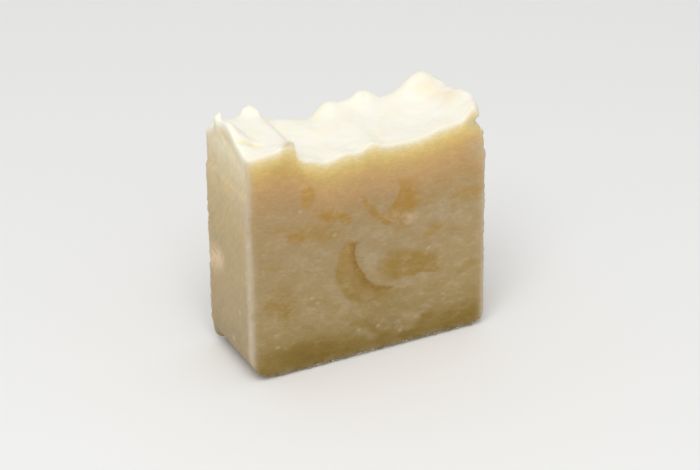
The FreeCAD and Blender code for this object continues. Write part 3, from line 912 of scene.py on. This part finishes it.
# %% The tan by height, darker towards the foot as painted shade, with its clouds and patches
cut_tone = ramp(paint, height, CUT_TONE_AND_SHADE_BY_HEIGHT)
gold = ramp(paint, height, PATCH_GOLD_AND_SHADE_BY_HEIGHT)
greyer = times(fade(paint, mottling, 0.50, 0.68), over(height, 4, 13))
golder = fade(paint, broad_clouds, 0.52, 0.68)
cut_tone = lay(cut_tone, GREY_TAN, greyer, strength=0.6)
cut_tone = lay(cut_tone, gold, golder, strength=0.5)
cut_tone = lay(cut_tone, GREY_TAN, broken(pale, mottling, 0.30, 0.62))
cut_tone = lay(cut_tone, PINK_TAN, broken(pink, mottling, 0.30, 0.62))
dark_broken = strongest(broken(dark, mottling, 0.75, 0.42), broken(bold, mottling, 0.95, 0.40))
cut_tone = lay(cut_tone, gold, dark_broken)
cut_tone = lay(cut_tone, DEEP_GOLD, broken(deep_line, fine_clouds, 0.85, 0.35))
print("tan, gold, grey and pink on the cut face")

# %% The painted glow under the crown, the paler shoulder and the lighter right side
RIGHT_GAIN = 0.09
glow_tone = ramp(paint, under, CUT_GLOW_BY_DEPTH)
glow_patches = times(dark_broken, 0.75, over(under, 2, 6))
glow_tone = lay(glow_tone, gold, glow_patches)
cut_tone = lay(cut_tone, glow_tone, over(under, 20, 9))
cut_tone = lay(cut_tone, SHOULDER_TAN, stored("shoulder"), strength=0.75)
right_side = fade(paint, axes.outputs["X"], 8 * MM, HALF_WIDTH, "LINEAR")
cut_tone = lighten(cut_tone, calc(paint, "MULTIPLY_ADD", right_side, 0.5, 0.5), RIGHT_GAIN)
for pattern, swing in ((mottling, 0.15), (fine_clouds, 0.16), (wire_lines, 0.07), (grain, 0.10)):
    cut_tone = lighten(cut_tone, pattern, swing)
print("cut face toned, with four patterns over it")

# %% [markdown]
# ## Edge glow and highlight, foot and crumbs
#
# Where two faces meet, light comes through the soap from both sides, so a painted glow pales the
# cut next to the wall, and the fine raised line that the wire leaves carries a painted highlight.
# At the foot the wire drags crumbs along, which dry white. A clean line of one width would look
# ruled, so a slow noise along the edge makes it come and go.

# %% Painted glow beside the walls, and crumbs, on the cut faces
edge_wobble = clouds(paint, place, (3, 3, 6))
# Painted glow: the cut is paler next to the walls, where light comes through from both sides.
cut_tone = lay(cut_tone, EDGE_HIGHLIGHT_AND_DRY_PALE, broken(near_wall, edge_wobble, 0.15, 0.7), strength=0.45)
specks = use_group(paint, CRUMBS, Vector=swirl_place, Spacing=2.6 * MM, Size=0.34 * MM,
                   Share=0.16).outputs["Specks"]
foot_specks = use_group(paint, CRUMBS, Vector=place, Spacing=0.8 * MM, Size=0.36 * MM,
                        Share=0.75).outputs["Specks"]
foot_specks = times(foot_specks, at_foot)
all_specks = strongest(times(specks, 0.15), times(flecks, 0.45), foot_specks)
cut_tone = lay(cut_tone, CRUMB_PALE, all_specks, strength=0.75)
foot_dust = broken(over(height, 3.4, 0.4), edge_wobble, 0.35, 0.6)
cut_tone = lay(cut_tone, FOOT_DUST, foot_dust, strength=0.55)
print("crumbs: scattered, flecks and at the foot")

# %% [markdown]
# ## The moulded walls
#
# A mould leaves a closed, smooth skin. It is paler and greyer than the cut, with faint scuffs
# from lifting the loaf out, which fall steeply towards the front. A scratch texture isn't
# needed for them: a noise that is turned and drawn out along one way gives the same streaks.

# %% The wall's tone
SCUFF_TURN = -38
WALL_GRAIN_SIZE = 1.6 * MM
WALL_CLOUD_SIZE = 5 * MM
scuff_turn = add(paint, "ShaderNodeMapping")
feed(paint, scuff_turn.inputs["Vector"], place)
scuff_turn.inputs["Rotation"].default_value = (math.radians(SCUFF_TURN), 0, 0)
scuffs = clouds(paint, scuff_turn.outputs["Vector"], (4, 0.8, 6), detail=4.0)
wall_grain = noise(paint, place, 1 / WALL_GRAIN_SIZE, detail=4.0, roughness=0.65)
wall_clouds = noise(paint, place, 1 / WALL_CLOUD_SIZE, detail=4.0, roughness=0.6)
# Painted shade: the wall's ramp is darker towards the foot.
wall_tone = ramp(paint, height, WALL_TONE_AND_SHADE_BY_HEIGHT)
golden_clouds = fade(paint, wall_clouds, 0.46, 0.72)
wall_tone = lay(wall_tone, WALL_GOLD, golden_clouds, strength=0.5, kind="MULTIPLY")
for pattern, swing in ((scuffs, 0.13), (wall_clouds, 0.18), (wall_grain, 0.12), (grain, 0.08)):
    wall_tone = lighten(wall_tone, pattern, swing)
# The painted glow under the crown, on the wall.
wall_tone = lay(wall_tone, ramp(paint, under, WALL_GLOW_BY_DEPTH), over(under, 5, 2))
# Painted highlight on the dent in the wall.
wall_tone = lay(wall_tone, DENT_HIGHLIGHT_PEACH, broken(stored("dent_highlight"), wall_grain, 0.14, 0.58))
print("wall toned, with four patterns over it")

# %% [markdown]
# ## The crown's tone
#
# The crown is cream with a warm tinge in places, and a warmer painted shade in the hollow before
# the dollop. Soda ash, the white bloom that soap grows in the open air, settles unevenly. A plain
# cream would look like plastic, so a broad noise stands in for the ash, and the crown turns duller
# next to the cut.

# %% The crown, from ash to lip
ASH_SIZE = 5 * MM
ash = noise(paint, place, 1 / ASH_SIZE, detail=4.0)
near_cut = close_to(HALF_THICKNESS, face, 2.2, 0.2)
crown_tone = lay(CREAM, WARM_CREAM, fade(paint, ash, 0.45, 0.75), strength=0.6)
# Painted shade in the hollow before the dollop.
crown_tone = lay(crown_tone, HOLLOW_SHADE_WARM, stored("hollow_shade"), strength=0.8)
crown_tone = lay(crown_tone, EDGE_CREAM, near_cut, strength=0.8)
crown_tone = lay(crown_tone, FLANK_SHADE_AND_LIP_TAN, stored("lip"))
print("crown toned")

# %% All skins together, and what lies over them
on_crown = over(under, 1.3, 0.1)
edge_highlight = broken(at_edge, edge_wobble, 0.1, 0.5)
foot_line = broken(over(height, 0.9, 0.3), edge_wobble, 0.2, 0.5)
skin_tone = lay(wall_tone, cut_tone, on_cut)
# Painted highlight along the vertical edges; the foot line below is pale dry soap.
skin_tone = lay(skin_tone, EDGE_HIGHLIGHT_AND_DRY_PALE, edge_highlight, strength=0.55)
skin_tone = lay(skin_tone, CRUMB_PALE, stored("dry"), strength=0.6)
skin_tone = lay(skin_tone, EDGE_HIGHLIGHT_AND_DRY_PALE, foot_line, strength=0.6)
skin_tone = lay(skin_tone, CREAM, foot_specks, strength=0.8)
skin_tone = lay(skin_tone, crown_tone, on_crown)
# Painted shade in the crease and the fold.
skin_tone = lay(skin_tone, CREASE_SHADE_GOLD, stored("crease_shade"), strength=0.8)
# Painted shade on the dollop's flank.
skin_tone = lay(skin_tone, FLANK_SHADE_AND_LIP_TAN, stored("flank"), strength=0.8)
print("skins: cut, wall and crown")

# %% [markdown]
# ## The surface
#
# Soap is waxy: light enters it and comes out a little further on. Mixing in a translucent
# shader would let light through the whole bar, so the subsurface settings give it instead, with
# red reaching furthest. Its gloss is soft and uneven. The bump holds what is finer than the
# skin's faces: drag lines, grain and crumbs.

# %% The fine relief
LINE_DEPTH = 0.07
GRIT_DEPTH = 0.035
CRUMB_HEIGHT = 0.06
LUMP_DEPTH, CROWN_LUMP_DEPTH = 0.12, 0.03
lines = times(wire_lines, on_cut, LINE_DEPTH)
grit = times(grain, GRIT_DEPTH)
crumbs = times(all_specks, CRUMB_HEIGHT)
lump_depth = calc(paint, "MULTIPLY_ADD", on_crown, CROWN_LUMP_DEPTH - LUMP_DEPTH, LUMP_DEPTH)
lumps = times(fine_clouds, lump_depth)
fine_height = calc(paint, "ADD", calc(paint, "ADD", lines, grit), calc(paint, "ADD", lumps, crumbs))
relief = add(paint, "ShaderNodeBump")
feed(paint, relief.inputs["Height"], fine_height)
relief.inputs["Distance"].default_value = MM
relief.inputs["Strength"].default_value = 0.8
print("relief of up to", LUMP_DEPTH, "mm for each pattern")

# %% The finished material
ROUGH_SWING, LEAST_ROUGH = 0.3, 0.4
shader = add(paint, "ShaderNodeBsdfPrincipled")
surface = add(paint, "ShaderNodeOutputMaterial")
shader.inputs["Subsurface Weight"].default_value = 0.3
shader.inputs["Subsurface Radius"].default_value = (1.0, 0.62, 0.3)
shader.inputs["Subsurface Scale"].default_value = 2.2 * MM
shader.inputs["IOR"].default_value = 1.46
shader.inputs["Specular IOR Level"].default_value = 0.25
feed(paint, shader.inputs["Base Color"], skin_tone)
feed(paint, shader.inputs["Normal"], relief.outputs["Normal"])
feed(paint, shader.inputs["Roughness"],
     calc(paint, "MULTIPLY_ADD", fine_clouds, ROUGH_SWING, LEAST_ROUGH))
feed(paint, surface.inputs["Surface"], shader.outputs["BSDF"])
soap.data.materials.append(soap_paint)

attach(soap, "root")
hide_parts("shampoo_bar")
print("material nodes:", len(paint.nodes))

# %% [markdown]
# ## The studio
#
# The bar stands on a pale floor under one large soft lamp, with a plain sky to fill the
# shadows. A bare sky alone would flatten the crown, and a small lamp would cut hard shadows
# into it. The camera looks down on the left front corner through a long lens.

# %% The floor
FLOOR_SIZE = 4
FLOOR_DROP = 0.02 * MM
bpy.ops.mesh.primitive_plane_add(size=FLOOR_SIZE, location=(0, 0, -FLOOR_DROP))
floor = bpy.context.object
floor.name = "studio_floor"
floor_paint = bpy.data.materials.new("Studio floor")
floor_paint.use_nodes = True
floor_shader = floor_paint.node_tree.nodes["Principled BSDF"]
floor_shader.inputs["Base Color"].default_value = (0.92, 0.92, 0.91, 1)
floor_shader.inputs["Roughness"].default_value = 0.9
floor_shader.inputs["Specular IOR Level"].default_value = 0.1
floor.data.materials.append(floor_paint)
print("floor:", floor.name)

# %% The sky: soft light on the bar, white where it is seen or mirrored
SKY_LIGHT = 0.57
sky = bpy.data.worlds.new("Studio sky")
bpy.context.scene.world = sky
sky.use_nodes = True
heaven = sky.node_tree
heaven.nodes.clear()
ray = add(heaven, "ShaderNodeLightPath")
seen = calc(heaven, "MAXIMUM", ray.outputs["Is Camera Ray"], ray.outputs["Is Glossy Ray"])
seen = calc(heaven, "MAXIMUM", seen, ray.outputs["Is Transmission Ray"])
glow = add(heaven, "ShaderNodeBackground")
glow.inputs["Color"].default_value = (1, 1, 1, 1)
strength = calc(heaven, "MULTIPLY_ADD", seen, 1 - SKY_LIGHT, SKY_LIGHT)
feed(heaven, glow.inputs["Strength"], strength)
heaven_out = add(heaven, "ShaderNodeOutputWorld")
feed(heaven, heaven_out.inputs["Surface"], glow.outputs[0])
print("sky:", sky.name)

# %% The lamp
def soft_lamp(name, place_m, aim_m, size_m, watts):
    """A square area lamp at a place, turned towards a point."""
    light = bpy.data.lights.new(name, "AREA")
    light.size = size_m
    light.energy = watts
    lamp = bpy.data.objects.new(name, light)
    lamp.location = place_m
    turn = (Vector(aim_m) - Vector(place_m)).to_track_quat("-Z", "Y")
    lamp.rotation_euler = turn.to_euler()
    bpy.context.scene.collection.objects.link(lamp)
    return lamp


key = soft_lamp("Key", place_m=(-0.28, -0.44, 0.86), aim_m=(0, 0, 0.03), size_m=0.6, watts=4.7)
print("lamp:", key.name)

# %% The camera
AZIMUTH, ELEVATION, ROLL = math.radians(26.0), math.radians(29.27), math.radians(0.58)
AIM = Vector((0.6, -0.39, 28.13)) * MM
DISTANCE = 705.6 * MM
SENSOR_WIDTH, LENS = 36, 146.2
back = Vector((-math.sin(AZIMUTH) * math.cos(ELEVATION),
               -math.cos(AZIMUTH) * math.cos(ELEVATION), math.sin(ELEVATION)))
right = Vector((math.cos(AZIMUTH), -math.sin(AZIMUTH), 0))
up = back.cross(right)
rolled_right = right * math.cos(ROLL) - up * math.sin(ROLL)
rolled_up = right * math.sin(ROLL) + up * math.cos(ROLL)
camera_data = bpy.data.cameras.new("Camera")
camera_data.sensor_width = SENSOR_WIDTH
camera_data.lens = LENS
camera = bpy.data.objects.new("Camera", camera_data)
spin = Matrix((rolled_right, rolled_up, back)).transposed().to_4x4()
camera.matrix_world = Matrix.Translation(AIM + back * DISTANCE) @ spin
bpy.context.scene.collection.objects.link(camera)
bpy.context.scene.camera = camera
bpy.context.scene.view_settings.view_transform = "Standard"
print("camera at", [round(v, 3) for v in camera.location])
